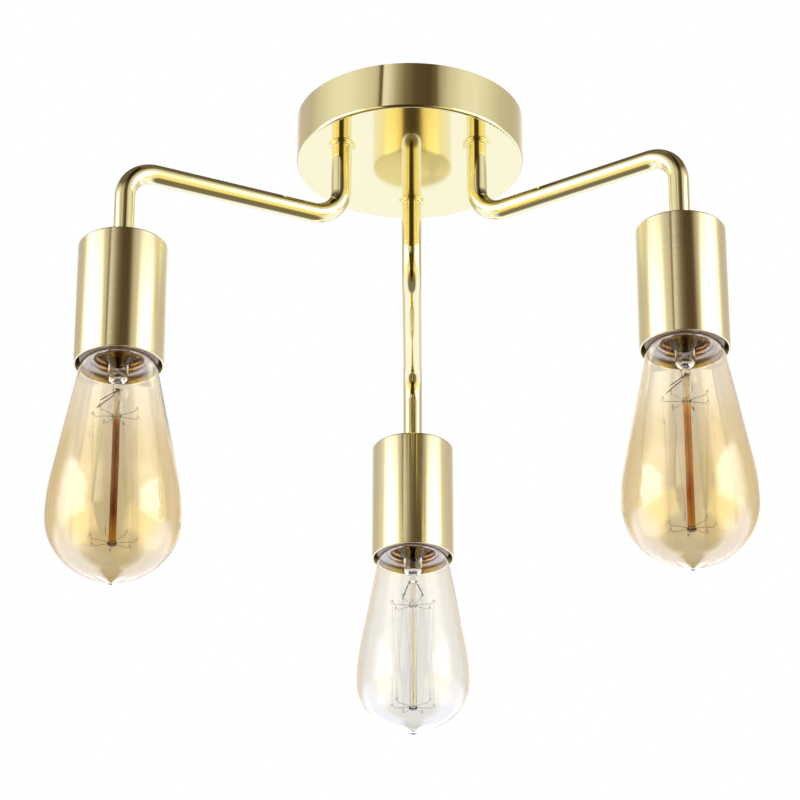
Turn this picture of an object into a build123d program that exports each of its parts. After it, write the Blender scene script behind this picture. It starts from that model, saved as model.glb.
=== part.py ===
from build123d import *
import os
from math import acos, atan2, cos, pi, radians, sin, sqrt

# Semi flush ceiling light: a shallow round canopy, three bent tube arms and three cups
# that each hold a screw-in filament bulb.  Millimetres, +Z up.  The origin is the centre
# of the ceiling bracket's top face, which lies on the ceiling.

# ------------------------------------------------------------------ driving sizes
slip = 0.05  # radial clearance of what is slid or screwed onto another piece
running_gap = 0.3  # between the bulb's metal cap and the shell that it screws into

canopy_diameter = 115.0
canopy_height = 25.0
canopy_wall = 1.0
canopy_edge = 1.5  # radius of the edge between wall and face
hole_inset = 18.2  # from the canopy's edge in to the holes that the arms pass through

# Where each arm stands around the canopy, and how far it is turned about its own hole.
arm_azimuth = {"left": 210.0, "right": 330.0, "rear": 90.0}
arm_turn = {"left": -2.5, "right": -3.0, "rear": 1.0}

tube_diameter = 10.0
tube_wall = 1.0
tube_drop = 42.4  # from the canopy's face down to the level run's centre line
tube_reach = 115.8  # from the hole out to the lamp's axis
tube_bend_radius = 16.0
cup_drop = 43.9  # from the level run down to the cup's top
tube_end_above = 10.0  # how far the tube stands up inside the canopy
collar_flange_diameter = 14.0
collar_flange_height = 0.5
collar_bead_diameter = 12.4
collar_bead_height = 1.6
arm_nut_width = 14.0
arm_nut_height = 3.0
arm_washer_diameter = 17.0
arm_washer_height = 0.8

cup_diameter = 43.0
cup_height = 64.0
cup_wall = 0.8
cup_edge = 1.0
tube_below_nut = 1.5

holder_recess = 3.0  # the holder's face stands this far up inside the cup's mouth
holder_diameter = 38.6
holder_height = 38.0
holder_edge = 1.2
holder_floor = 7.0
shell_wall = 0.4
shell_height = 22.0
shell_recess = 1.5
yoke_width = 12.0
yoke_inset = 2.3  # from the holder's side in to the yoke's legs
yoke_thickness = 1.5
yoke_foot = 7.0
yoke_screw_diameter = 3.0
yoke_screw_length = 5.0
terminal_side = 6.0
terminal_height = 8.0
terminal_spacing = 22.0
terminal_seat_depth = 4.5
terminal_screw_diameter = 3.0
screw_head_height = 1.8
screw_head_share = 1.6  # a screw head's diameter over its thread's
contact_strip_width = 6.0
contact_strip_thickness = 0.4

cap_diameter = 26.4
cap_rim_height = 3.5  # the cap's rim above the cup's mouth
cap_wall = 0.4
cap_thread_height = 19.0
cap_shoulder_height = 4.0
cap_shoulder_diameter = 17.0
cap_glass_height = 2.4
cap_contact_diameter = 9.6
cap_contact_height = 1.6
screw_pitch = 3.629  # of the cap's thread: seven turns to the inch
screw_turns = 5.0  # from fully home until the threads part

bulb_wall = 0.9
bulb_neck_diameter = 23.4
bulb_neck_in_cap = 8.0
bulb_shoulder_height = 2.2  # the top of the rounded shoulder above the cup's mouth
bulb_shoulder_radius = 5.0
bulb_shoulder_inset = 0.05  # from the holder's bore in to the flat top of the shoulder
bulb_flank_radius = 110.0  # between the widest ring and the straight flank
nipple_height = 4.0  # the pointed seal below the bowl
nipple_diameter = 16.0
nipple_point = 1.0
# Each bulb's widest diameter, and the depths below the cup's mouth of its widest ring,
# of its tip and of the button at the end of its glass rod.
side_bulb = {"diameter": 64.0, "widest": 79.4, "tip": 113.3, "rod_end": 92.0}
rear_bulb = {"diameter": 59.2, "widest": 70.0, "tip": 99.2, "rod_end": 84.0}
bulb = {"left": side_bulb, "right": side_bulb, "rear": rear_bulb}
# How far each bulb is screwed round, the angle between its leads and how far they reach.
bulb_clock = {"left": 205.0, "right": 200.0, "rear": 270.0}
lead_spread = {"left": 32.0, "right": 32.0, "rear": 180.0}
lead_reach = {"left": 9.5, "right": 9.5, "rear": 5.5}

stem_diameter = 9.6
stem_depth = 9.6
pinch_width = 6.0
pinch_thickness = 3.2
pinch_height = 4.6
rod_diameter = 3.5
top_button_depth = 27.0
button_diameter = 5.4
button_height = 2.6
support_count = 7
support_reach = 12.2
support_wire = 0.4
hook_height = 2.6
hook_depth = 1.6
lead_wire = 0.6
lead_gap = 0.3
lead_depth = 23.5
filament_wire = 0.25

bracket_thickness = 1.5
bracket_width = 22.0
bracket_tab = 13.0
bracket_bend_radius = 2.5
bracket_slot_spacing = 64.0
bracket_slot_length = 14.0
bracket_slot_width = 4.5
grub_diameter = 4.0
grub_length = 8.0
grub_depth = 7.0  # below the ceiling
grub_sink = 0.4  # below the canopy's wall
grub_socket = 2.0
block_length = 30.0
block_width = 17.0
block_height = 9.0
block_poles = 3
block_pitch = 9.5
block_way_diameter = 3.6
block_clamp_diameter = 3.2
block_clamp_sink = 1.0
block_screw_diameter = 3.0
earth_screw_x = 19.0
earth_screw_diameter = 4.0
cable_diameter = 5.2
cable_lead_out = 12.0  # how far a cable heads straight out of the block before it turns
cable_rise = 8.0  # how far above its tube it begins to head down

# ------------------------------------------------------------------ sizes that follow
tube_radius = tube_diameter / 2
face_z = -canopy_height
run_z = face_z - tube_drop
cup_top_z = run_z - cup_drop
mouth_z = cup_top_z - cup_height
yoke_top = cup_height - cup_wall  # heights above the cup's mouth from here on
yoke_bottom = yoke_top - yoke_thickness
lamp_nut_bottom = yoke_bottom - arm_nut_height
holder_top = holder_recess + holder_height
shell_inner_radius = cap_diameter / 2 + running_gap
shell_outer_radius = shell_inner_radius + shell_wall
holder_bore_radius = shell_outer_radius + slip
holder_ceiling = holder_top - holder_floor
cap_thread_top = cap_rim_height + cap_thread_height
cap_glass_bottom = cap_thread_top + cap_shoulder_height
cap_contact_bottom = cap_glass_bottom + cap_glass_height
cap_contact_top = cap_contact_bottom + cap_contact_height
canopy_inner_radius = canopy_diameter / 2 - canopy_wall
hole_circle_radius = canopy_diameter / 2 - hole_inset
bracket_half_width = bracket_width / 2
tab_face_x = sqrt(canopy_inner_radius**2 - bracket_half_width**2) - slip
tab_middle_x = tab_face_x - bracket_thickness / 2
block_bottom = -bracket_thickness - block_height
cable_level = block_bottom + block_height / 2  # where the cables cross the canopy
yoke_leg_x = holder_diameter / 2 - yoke_inset - yoke_thickness / 2
yoke_screw_x = yoke_leg_x - (yoke_foot + yoke_thickness) / 2
pinch_bottom = -stem_depth - pinch_height


def around(azimuth, radius, z=0.0):
    """The point at this azimuth and radius about the canopy's axis."""
    return Vector(radius * cos(radians(azimuth)), radius * sin(radians(azimuth)), z)


def upright(origin, azimuth):
    """A vertical plane through origin: x runs outward along the azimuth, y runs up."""
    return Plane(origin, x_dir=around(azimuth, 1), z_dir=around(azimuth - 90, 1))


def level(origin, azimuth, height):
    """A level plane at a height above origin: x runs outward along the azimuth."""
    return Plane(origin + Vector(0, 0, height), x_dir=around(azimuth, 1), z_dir=(0, 0, 1))


def save(builder, name):
    """Label a finished piece and write it."""
    builder.part.label = name
    export_step(builder.part, f"parts/{name}.step")


arm_heading = {name: arm_azimuth[name] + arm_turn[name] for name in arm_azimuth}
hole = {name: around(arm_azimuth[name], hole_circle_radius, face_z) for name in arm_azimuth}
lamp = {
    name: hole[name] + around(arm_heading[name], tube_reach, mouth_z - face_z)
    for name in arm_azimuth
}
os.makedirs("parts", exist_ok=True)


# ------------------------------------------------------------------ canopy and bracket
def make_canopy():
    """The drum: a flat face, a short wall and an open top against the ceiling."""
    with BuildPart() as canopy:
        with BuildSketch(Plane.XY.offset(face_z)):
            Circle(canopy_diameter / 2)
        extrude(amount=canopy_height)
        fillet(canopy.edges().sort_by(Axis.Z)[0], canopy_edge)
        with BuildSketch(Plane.XY.offset(face_z + canopy_wall)):
            Circle(canopy_inner_radius)
        extrude(amount=canopy_height, mode=Mode.SUBTRACT)
        with BuildSketch(Plane.XY.offset(face_z)):
            with Locations([(place.X, place.Y) for place in hole.values()]):
                Circle(tube_radius + 2 * slip)
        extrude(amount=canopy_wall, mode=Mode.SUBTRACT)
        with BuildSketch(Plane.YZ):
            with Locations((0, -grub_depth)):
                Circle(grub_diameter / 2 + slip)
        extrude(amount=canopy_diameter / 2, both=True, mode=Mode.SUBTRACT)
    save(canopy, "canopy")


def make_ceiling_bracket():
    """The strap that is screwed to the ceiling, with a tab bent down at each end."""
    with BuildPart() as bracket:
        with BuildSketch(Plane.XZ):
            with BuildLine():
                FilletPolyline(
                    (-tab_middle_x, -bracket_tab),
                    (-tab_middle_x, -bracket_thickness / 2),
                    (tab_middle_x, -bracket_thickness / 2),
                    (tab_middle_x, -bracket_tab),
                    radius=bracket_bend_radius,
                )
            trace(line_width=bracket_thickness)
        extrude(amount=bracket_half_width, both=True)
        with BuildSketch(Plane.XY):
            with GridLocations(bracket_slot_spacing, 1, 2, 1):
                SlotOverall(bracket_slot_length, bracket_slot_width)
            with Locations((block_pitch / 2, 0)):
                Circle(block_screw_diameter / 2 + slip)
            with Locations((earth_screw_x, 0)):
                Circle(earth_screw_diameter / 2 + slip)
        extrude(amount=-bracket_thickness, mode=Mode.SUBTRACT)
        with BuildSketch(Plane.YZ):
            with Locations((0, -grub_depth)):
                Circle(grub_diameter / 2 + slip)
        extrude(amount=tab_face_x, both=True, mode=Mode.SUBTRACT)
    save(bracket, "ceiling_bracket")


def make_canopy_grub_screws():
    """Two socket grub screws, through the canopy's wall into the bracket's tabs."""
    with BuildPart() as grubs:
        for side in (-1, 1):
            outward = Plane(
                origin=(side * (canopy_diameter / 2 - grub_sink), 0, -grub_depth),
                x_dir=(0, 1, 0),
                z_dir=(side, 0, 0),
            )
            with BuildSketch(outward):
                Circle(grub_diameter / 2)
            extrude(amount=-grub_length)
            with BuildSketch(outward):
                RegularPolygon(grub_socket / 2, 6, major_radius=False)
            extrude(amount=-grub_socket, mode=Mode.SUBTRACT)
    save(grubs, "canopy_grub_screws")


def make_arm_washers():
    """A washer under each arm's nut, on the inside of the canopy's face."""
    with BuildPart() as washers:
        with BuildSketch(Plane.XY.offset(face_z + canopy_wall)):
            with Locations([(place.X, place.Y) for place in hole.values()]):
                Circle(arm_washer_diameter / 2)
                Circle(tube_radius + slip, mode=Mode.SUBTRACT)
        extrude(amount=arm_washer_height)
    save(washers, "arm_washers")


def make_arm_lock_nuts():
    """The thin hexagon nut that clamps each arm to the canopy."""
    with BuildPart() as nuts:
        for name, place in hole.items():
            seat = canopy_wall + arm_washer_height
            with BuildSketch(level(place, arm_heading[name], seat)):
                RegularPolygon(arm_nut_width / 2, 6, major_radius=False)
                Circle(tube_radius + slip, mode=Mode.SUBTRACT)
            extrude(amount=arm_nut_height)
    save(nuts, "arm_lock_nuts")


def make_terminal_block():
    """The strip connector under the bracket, one screw clamp on each side of each way."""
    with BuildPart() as block:
        with BuildSketch(Plane.XY.offset(-bracket_thickness)):
            RectangleRounded(block_length, block_width, 1.0)
        extrude(amount=-block_height)
        with BuildSketch(Plane.XZ.offset(-block_width / 2)):
            with Locations((0, cable_level)):
                with GridLocations(block_pitch, 1, block_poles, 1):
                    Circle(block_way_diameter / 2)
        extrude(amount=block_width, mode=Mode.SUBTRACT)
        with BuildSketch(Plane.XY.offset(block_bottom)):
            with GridLocations(block_pitch, block_width / 2, block_poles, 2):
                Circle(block_clamp_diameter / 2 + slip)
        extrude(amount=block_height / 2, mode=Mode.SUBTRACT)
        with BuildSketch(Plane.XY.offset(block_bottom)):
            with Locations((block_pitch / 2, 0)):
                Circle(block_screw_diameter / 2 + slip)
        extrude(amount=block_height, mode=Mode.SUBTRACT)
    save(block, "terminal_block")


def make_terminal_screws():
    """The clamp screws in the strip connector."""
    with BuildPart() as screws:
        with BuildSketch(Plane.XY.offset(block_bottom + block_clamp_sink)):
            with GridLocations(block_pitch, block_width / 2, block_poles, 2):
                Circle(block_clamp_diameter / 2)
        extrude(amount=(block_height - block_way_diameter / 2) / 2 - block_clamp_sink)
    save(screws, "terminal_screws")


def make_bracket_screw(name, x, diameter, seat, length):
    """A screw driven up into the bracket: a round head below its seat and a plain shank."""
    with BuildPart() as screw:
        with BuildSketch(Plane.XY.offset(seat)):
            with Locations((x, 0)):
                Circle(diameter * screw_head_share / 2)
        extrude(amount=-screw_head_height)
        with BuildSketch(Plane.XY.offset(seat)):
            with Locations((x, 0)):
                Circle(diameter / 2)
        extrude(amount=length)
    save(screw, name)


# ------------------------------------------------------------------ one arm
def tube_line(name, top, bottom):
    """The tube's centre line between two heights above the canopy's face and the cup's mouth."""
    inner = hole[name]
    outer = lamp[name]
    FilletPolyline(
        inner + Vector(0, 0, top),
        Vector(inner.X, inner.Y, run_z),
        Vector(outer.X, outer.Y, run_z),
        outer + Vector(0, 0, bottom),
        radius=tube_bend_radius,
    )


def make_arm_tube(name):
    """The tube: down from the canopy, out along the level run and down into the cup."""
    with BuildPart() as tube:
        with BuildLine() as path:
            tube_line(name, tube_end_above, lamp_nut_bottom - tube_below_nut)
        with BuildSketch(level(hole[name], arm_heading[name], tube_end_above)):
            Circle(tube_radius)
            Circle(tube_radius - tube_wall, mode=Mode.SUBTRACT)
        sweep(path=path.line)
    save(tube, f"arm_tube_{name}")


def make_arm_collar(name):
    """The stepped ring on the tube that bears against the canopy's face."""
    bore = tube_radius + slip
    flange = collar_flange_diameter / 2
    bead = collar_bead_diameter / 2
    round_radius = (collar_bead_height - collar_flange_height) / 2
    with BuildPart() as collar:
        with BuildSketch(upright(hole[name], arm_heading[name])):
            with BuildLine():
                Polyline(
                    (bead - round_radius, -collar_bead_height),
                    (bore, -collar_bead_height),
                    (bore, 0),
                    (flange, 0),
                    (flange, -collar_flange_height),
                    (bead - round_radius, -collar_flange_height),
                )
                ThreePointArc(
                    (bead - round_radius, -collar_flange_height),
                    (bead, -collar_flange_height - round_radius),
                    (bead - round_radius, -collar_bead_height),
                )
            make_face()
        revolve(axis=Axis(hole[name], (0, 0, 1)))
    save(collar, f"arm_collar_{name}")


def make_arm_cable(name):
    """The cable from the terminal block, over the lock nut and through the tube."""
    place = hole[name]
    side = 1 if place.Y > 0 else -1
    way = block_pitch * round(place.X / hole_circle_radius)
    start = Vector(way, side * (block_width / 2 + slip), cable_level)
    tube_top = place + Vector(0, 0, tube_end_above)
    with BuildPart() as cable:
        with BuildLine() as path:
            Bezier(
                start,
                start + Vector(0, side * cable_lead_out),
                tube_top + Vector(0, 0, cable_rise),
                tube_top,
            )
            tube_line(name, tube_end_above, holder_top + terminal_height)
        with BuildSketch(Plane(start, z_dir=(0, side, 0))):
            Circle(cable_diameter / 2)
        sweep(path=path.line)
    save(cable, f"arm_cable_{name}")


# ------------------------------------------------------------------ cup and lampholder
def make_lamp_cup(name):
    """The drawn cup: a flat closed top with a rounded edge, open at the bottom."""
    with BuildPart() as cup:
        with BuildSketch(level(lamp[name], arm_heading[name], 0)):
            Circle(cup_diameter / 2)
        extrude(amount=cup_height)
        fillet(cup.edges().sort_by(Axis.Z)[-1], cup_edge)
        with BuildSketch(level(lamp[name], arm_heading[name], 0)):
            Circle(cup_diameter / 2 - cup_wall)
        extrude(amount=yoke_top, mode=Mode.SUBTRACT)
        with BuildSketch(level(lamp[name], arm_heading[name], yoke_top)):
            Circle(tube_radius + slip)
        extrude(amount=cup_wall, mode=Mode.SUBTRACT)
    save(cup, f"lamp_cup_{name}")


def make_holder_body(name):
    """The porcelain holder: a bored body with seats for the terminals and the yoke's screws."""
    axis = Axis(lamp[name], (0, 0, 1))
    with BuildPart() as body:
        with BuildSketch(upright(lamp[name], arm_heading[name])):
            with BuildLine():
                Polyline(
                    (holder_bore_radius, holder_recess),
                    (holder_bore_radius, holder_ceiling),
                    (0, holder_ceiling),
                    (0, holder_top),
                    (holder_diameter / 2, holder_top),
                    (holder_diameter / 2, holder_recess + holder_edge),
                )
                RadiusArc(
                    (holder_diameter / 2, holder_recess + holder_edge),
                    (holder_diameter / 2 - holder_edge, holder_recess),
                    holder_edge,
                )
                Line(
                    (holder_diameter / 2 - holder_edge, holder_recess),
                    (holder_bore_radius, holder_recess),
                )
            make_face()
        revolve(axis=axis)
        top = level(lamp[name], arm_heading[name], holder_top)
        with BuildSketch(top):
            with GridLocations(1, terminal_spacing, 1, 2):
                Rectangle(terminal_side + 2 * slip, terminal_side + 2 * slip)
        extrude(amount=-terminal_seat_depth, mode=Mode.SUBTRACT)
        with BuildSketch(top):
            with GridLocations(2 * yoke_screw_x, 1, 2, 1):
                Circle(yoke_screw_diameter / 2 + slip)
        extrude(amount=-yoke_screw_length, mode=Mode.SUBTRACT)
    save(body, f"holder_body_{name}")


def make_thread_shell(name):
    """The metal shell in the holder's bore that the bulb's cap screws into."""
    with BuildPart() as shell:
        with BuildSketch(level(lamp[name], arm_heading[name], holder_recess + shell_recess)):
            Circle(shell_outer_radius)
            Circle(shell_inner_radius, mode=Mode.SUBTRACT)
        extrude(amount=shell_height)
    save(shell, f"thread_shell_{name}")


def make_centre_contact(name):
    """The bent strip in the holder's ceiling that presses on the bulb's end contact."""
    arm = holder_bore_radius * 0.6
    tip = cap_contact_top + running_gap + contact_strip_thickness / 2
    root = holder_ceiling - contact_strip_thickness / 2
    with BuildPart() as contact:
        with BuildSketch(upright(lamp[name], arm_heading[name])):
            with BuildLine():
                FilletPolyline(
                    (arm, root),
                    (-arm, root),
                    (-arm / 2, tip),
                    (arm / 2, tip),
                    radius=contact_strip_thickness,
                )
            trace(line_width=contact_strip_thickness)
        extrude(amount=contact_strip_width / 2, both=True)
    save(contact, f"centre_contact_{name}")


def make_holder_yokes():
    """The steel bridge of each lamp: it carries the cup and hangs the holder on the tube."""
    foot_level = holder_top + yoke_thickness / 2
    with BuildPart() as yokes:
        for name, place in lamp.items():
            with BuildSketch(upright(place, arm_heading[name])):
                with BuildLine():
                    FilletPolyline(
                        (-yoke_leg_x + yoke_foot, foot_level),
                        (-yoke_leg_x, foot_level),
                        (-yoke_leg_x, yoke_top - yoke_thickness / 2),
                        (yoke_leg_x, yoke_top - yoke_thickness / 2),
                        (yoke_leg_x, foot_level),
                        (yoke_leg_x - yoke_foot, foot_level),
                        radius=yoke_thickness,
                    )
                trace(line_width=yoke_thickness)
            extrude(amount=yoke_width / 2, both=True)
            with BuildSketch(level(place, arm_heading[name], yoke_top)):
                Circle(tube_radius + slip)
            extrude(amount=-yoke_thickness, mode=Mode.SUBTRACT)
            with BuildSketch(level(place, arm_heading[name], holder_top)):
                with GridLocations(2 * yoke_screw_x, 1, 2, 1):
                    Circle(yoke_screw_diameter / 2 + slip)
            extrude(amount=yoke_thickness, mode=Mode.SUBTRACT)
    save(yokes, "holder_yokes")


def make_yoke_screws():
    """Two screws through each yoke's feet into the holder."""
    with BuildPart() as screws:
        for name, place in lamp.items():
            seat = holder_top + yoke_thickness
            with BuildSketch(level(place, arm_heading[name], seat)):
                with GridLocations(2 * yoke_screw_x, 1, 2, 1):
                    Circle(yoke_screw_diameter * screw_head_share / 2)
            extrude(amount=screw_head_height)
            with BuildSketch(level(place, arm_heading[name], seat)):
                with GridLocations(2 * yoke_screw_x, 1, 2, 1):
                    Circle(yoke_screw_diameter / 2)
            extrude(amount=-yoke_thickness - yoke_screw_length)
    save(screws, "yoke_screws")


def make_lamp_nuts():
    """The nut under each yoke, on the tube's end."""
    with BuildPart() as nuts:
        for name, place in lamp.items():
            with BuildSketch(level(place, arm_heading[name], lamp_nut_bottom)):
                RegularPolygon(arm_nut_width / 2, 6, major_radius=False)
                Circle(tube_radius + slip, mode=Mode.SUBTRACT)
            extrude(amount=arm_nut_height)
    save(nuts, "lamp_nuts")


def make_holder_terminals():
    """The two brass clamps of each holder, bored across for the wire and from above for a screw."""
    seat = holder_top - terminal_seat_depth
    with BuildPart() as terminals:
        for name, place in lamp.items():
            with BuildSketch(level(place, arm_heading[name], seat)):
                with GridLocations(1, terminal_spacing, 1, 2):
                    Rectangle(terminal_side, terminal_side)
                    Circle(terminal_screw_diameter / 2 + slip, mode=Mode.SUBTRACT)
            extrude(amount=terminal_height)
    save(terminals, "holder_terminals")


def make_holder_terminal_screws():
    """The screws of the holders' clamps."""
    top = holder_top - terminal_seat_depth + terminal_height
    with BuildPart() as screws:
        for name, place in lamp.items():
            with BuildSketch(level(place, arm_heading[name], top)):
                with GridLocations(1, terminal_spacing, 1, 2):
                    Circle(terminal_screw_diameter * screw_head_share / 2)
            extrude(amount=screw_head_height)
            with BuildSketch(level(place, arm_heading[name], top)):
                with GridLocations(1, terminal_spacing, 1, 2):
                    Circle(terminal_screw_diameter / 2)
            extrude(amount=-terminal_height / 2)
    save(screws, "holder_terminal_screws")


# ------------------------------------------------------------------ one bulb
def glass_outline(name, inset):
    """Half the bulb's outline, inset by a wall, from its tip up to the end of its neck."""
    size = bulb[name]
    radius = size["diameter"] / 2
    bottom = -size["tip"] + nipple_height
    depth = -size["widest"] - bottom
    # The lower corner has an ellipse's curvature where it ends upright at the widest ring.
    corner = depth**2 / radius
    corner_centre = Vector(radius - corner, -size["widest"])
    flank_centre = Vector(radius - bulb_flank_radius, -size["widest"])
    # The bowl is an arc about the bulb's axis that runs into the corner's arc.
    bowl = (radius**2 + depth**2 - 2 * radius * corner) / (2 * (depth - corner))
    bowl_centre = Vector(0, bottom + bowl)
    bowl_side = (corner_centre - bowl_centre) * (1 / (bowl - corner))
    # The straight flank touches the flank's arc and the shoulder's arc on this side.
    shoulder_centre = Vector(
        holder_bore_radius - bulb_shoulder_inset, bulb_shoulder_height - bulb_shoulder_radius
    )
    between = shoulder_centre - flank_centre
    lean = atan2(between.Y, between.X) - acos(
        (bulb_flank_radius - bulb_shoulder_radius) / between.length
    )
    flank_side = Vector(cos(lean), sin(lean))
    # The seal is a blunt cone drawn out of the bowl's middle.
    foot_radius = nipple_diameter / 2
    foot = Vector(foot_radius, bowl_centre.Y - sqrt((bowl - inset) ** 2 - foot_radius**2))
    point = -size["tip"] + 2 * inset
    bowl_end = bowl_centre + bowl_side * (bowl - inset)
    widest = corner_centre + Vector(corner - inset, 0)
    flank_start = flank_centre + flank_side * (bulb_flank_radius - inset)
    flank_end = shoulder_centre + flank_side * (bulb_shoulder_radius - inset)
    shoulder_top = shoulder_centre + Vector(0, bulb_shoulder_radius - inset)
    neck = bulb_neck_diameter / 2 - inset
    neck_end = cap_rim_height + bulb_neck_in_cap
    Polyline((0, point), (nipple_point / 2, point), foot)
    RadiusArc(foot, bowl_end, inset - bowl)
    RadiusArc(bowl_end, widest, inset - corner)
    RadiusArc(widest, flank_start, inset - bulb_flank_radius)
    Line(flank_start, flank_end)
    RadiusArc(flank_end, shoulder_top, inset - bulb_shoulder_radius)
    Polyline(shoulder_top, (neck, shoulder_top.Y), (neck, neck_end), (0, neck_end), (0, point))


def make_bulb_glass(name):
    """The blown envelope, with the pointed seal at its tip."""
    with BuildPart() as glass:
        with BuildSketch(upright(lamp[name], bulb_clock[name])):
            with BuildLine():
                glass_outline(name, 0.0)
            make_face()
            with BuildLine():
                glass_outline(name, bulb_wall)
            make_face(mode=Mode.SUBTRACT)
        revolve(axis=Axis(lamp[name], (0, 0, 1)))
    save(glass, f"bulb_glass_{name}")


def make_bulb_stem(name):
    """The glass stem: flare, tube, pinch and the rod with its two buttons."""
    size = bulb[name]
    flare_radius = bulb_neck_diameter / 2 - bulb_wall - slip
    flare_top = cap_rim_height + bulb_neck_in_cap
    stem = stem_diameter / 2
    with BuildPart() as glass:
        with BuildSketch(upright(lamp[name], bulb_clock[name])):
            with BuildLine():
                Polyline(
                    (0, flare_top),
                    (flare_radius, flare_top),
                    (flare_radius, flare_top - bulb_wall),
                    (stem, cap_rim_height - bulb_wall),
                    (stem, -stem_depth + stem / 2),
                )
                RadiusArc((stem, -stem_depth + stem / 2), (stem / 2, -stem_depth), stem / 2)
                Polyline((stem / 2, -stem_depth), (0, -stem_depth), (0, flare_top))
            make_face()
        revolve(axis=Axis(lamp[name], (0, 0, 1)))
        with BuildSketch(level(lamp[name], bulb_clock[name] + 90, -stem_depth)):
            RectangleRounded(pinch_width, pinch_thickness, pinch_thickness / 3)
        extrude(amount=-pinch_height)
        with BuildSketch(level(lamp[name], 0, pinch_bottom)):
            Circle(rod_diameter / 2)
        extrude(amount=-size["rod_end"] - pinch_bottom)
        for middle in (-top_button_depth, -size["rod_end"]):
            with BuildSketch(level(lamp[name], 0, middle - button_height / 2)):
                Circle(button_diameter / 2)
            extrude(amount=button_height)
    save(glass, f"bulb_stem_{name}")


def support_angle(name, step):
    """Where a support wire points, counted in steps round from the first top one."""
    return bulb_clock[name] + 180 + 360 / support_count * step


def make_bulb_supports(name):
    """The fine wires that radiate from the two buttons, each hooked at its end."""
    size = bulb[name]
    root = button_diameter / 2
    hook_start = support_reach - hook_depth
    with BuildPart() as supports:
        # The bottom wires stand half a step round from the top ones.
        for depth, half in ((top_button_depth, 0.0), (size["rod_end"], 0.5)):
            place = lamp[name] - Vector(0, 0, depth)
            for index in range(support_count):
                with BuildSketch(upright(place, support_angle(name, index + half))):
                    with BuildLine():
                        Polyline(
                            (root, 0),
                            (hook_start, 0),
                            (hook_start + hook_depth / 2, hook_height),
                            (support_reach, hook_height / 3),
                        )
                    trace(line_width=support_wire)
                extrude(amount=support_wire / 2, both=True)
    save(supports, f"bulb_supports_{name}")


def make_bulb_leads(name):
    """The two lead wires from the pinch down to the ends of the filament."""
    side_step = around(bulb_clock[name] + 90, pinch_width / 2 - lead_wire)
    with BuildPart() as leads:
        for side in (-1, 1):
            angle = bulb_clock[name] + side * lead_spread[name] / 2
            start = lamp[name] + side_step * side + Vector(0, 0, pinch_bottom - lead_gap)
            end = lamp[name] + around(angle, lead_reach[name], -lead_depth)
            with BuildSketch(Plane(start, z_dir=end - start)):
                Rectangle(lead_wire, lead_wire)
            extrude(amount=(end - start).length)
    save(leads, f"bulb_leads_{name}")


def make_bulb_filament(name):
    """The fine wire that runs up and down between the two rings of hooks."""
    size = bulb[name]
    radius = support_reach + (support_wire + filament_wire) / 2 + slip
    hook_end = hook_height / 3
    top = hook_end - top_button_depth
    bottom = hook_end - size["rod_end"]
    with BuildPart() as filament:
        for index in range(support_count):
            low = lamp[name] + around(support_angle(name, index + 0.5), radius, bottom)
            for step in (index, index + 1):
                high = lamp[name] + around(support_angle(name, step), radius, top)
                with BuildSketch(Plane(high, z_dir=low - high)):
                    Rectangle(filament_wire, filament_wire)
                extrude(amount=(low - high).length)
    save(filament, f"bulb_filament_{name}")


def make_bulb_cap(name):
    """The metal screw cap: a straight skirt and a shoulder that narrows to the glass."""
    outer = cap_diameter / 2
    inner = outer - cap_wall
    shoulder = cap_shoulder_diameter / 2
    with BuildPart() as cap:
        with BuildSketch(upright(lamp[name], bulb_clock[name])):
            with BuildLine():
                Polyline(
                    (inner, cap_rim_height),
                    (outer, cap_rim_height),
                    (outer, cap_thread_top),
                    (shoulder, cap_glass_bottom),
                    (shoulder - cap_wall, cap_glass_bottom - cap_wall),
                    (inner, cap_thread_top - cap_wall),
                    close=True,
                )
            make_face()
        revolve(axis=Axis(lamp[name], (0, 0, 1)))
    save(cap, f"bulb_cap_{name}")


def make_bulb_insulator(name):
    """The dark glass that closes the cap around its end contact."""
    with BuildPart() as insulator:
        with BuildSketch(level(lamp[name], 0, cap_glass_bottom)):
            Circle(cap_shoulder_diameter / 2)
        with BuildSketch(level(lamp[name], 0, cap_contact_bottom)):
            Circle(cap_contact_diameter / 2)
        loft()
    save(insulator, f"bulb_insulator_{name}")


def make_bulb_contact(name):
    """The domed end contact, on the bulb's axis."""
    radius = cap_contact_diameter / 2
    with BuildPart() as contact:
        with BuildSketch(upright(lamp[name], bulb_clock[name])):
            with BuildLine():
                ThreePointArc(
                    (0, cap_contact_top),
                    (radius * 0.6, cap_contact_top - cap_contact_height * 0.3),
                    (radius, cap_contact_bottom),
                )
                Polyline((radius, cap_contact_bottom), (0, cap_contact_bottom), (0, cap_contact_top))
            make_face()
        revolve(axis=Axis(lamp[name], (0, 0, 1)))
    save(contact, f"bulb_contact_{name}")


# ------------------------------------------------------------------ all pieces
make_canopy()
make_ceiling_bracket()
make_canopy_grub_screws()
make_arm_washers()
make_arm_lock_nuts()
make_terminal_block()
make_terminal_screws()
make_bracket_screw(
    "block_screw", block_pitch / 2, block_screw_diameter, block_bottom, -block_bottom
)
make_bracket_screw(
    "earth_screw", earth_screw_x, earth_screw_diameter, -bracket_thickness, bracket_thickness
)
make_holder_yokes()
make_yoke_screws()
make_lamp_nuts()
make_holder_terminals()
make_holder_terminal_screws()
for arm_name in arm_azimuth:
    make_arm_tube(arm_name)
    make_arm_collar(arm_name)
    make_arm_cable(arm_name)
    make_lamp_cup(arm_name)
    make_holder_body(arm_name)
    make_thread_shell(arm_name)
    make_centre_contact(arm_name)
    make_bulb_glass(arm_name)
    make_bulb_stem(arm_name)
    make_bulb_supports(arm_name)
    make_bulb_leads(arm_name)
    make_bulb_filament(arm_name)
    make_bulb_cap(arm_name)
    make_bulb_insulator(arm_name)
    make_bulb_contact(arm_name)
travel = screw_pitch * screw_turns
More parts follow.
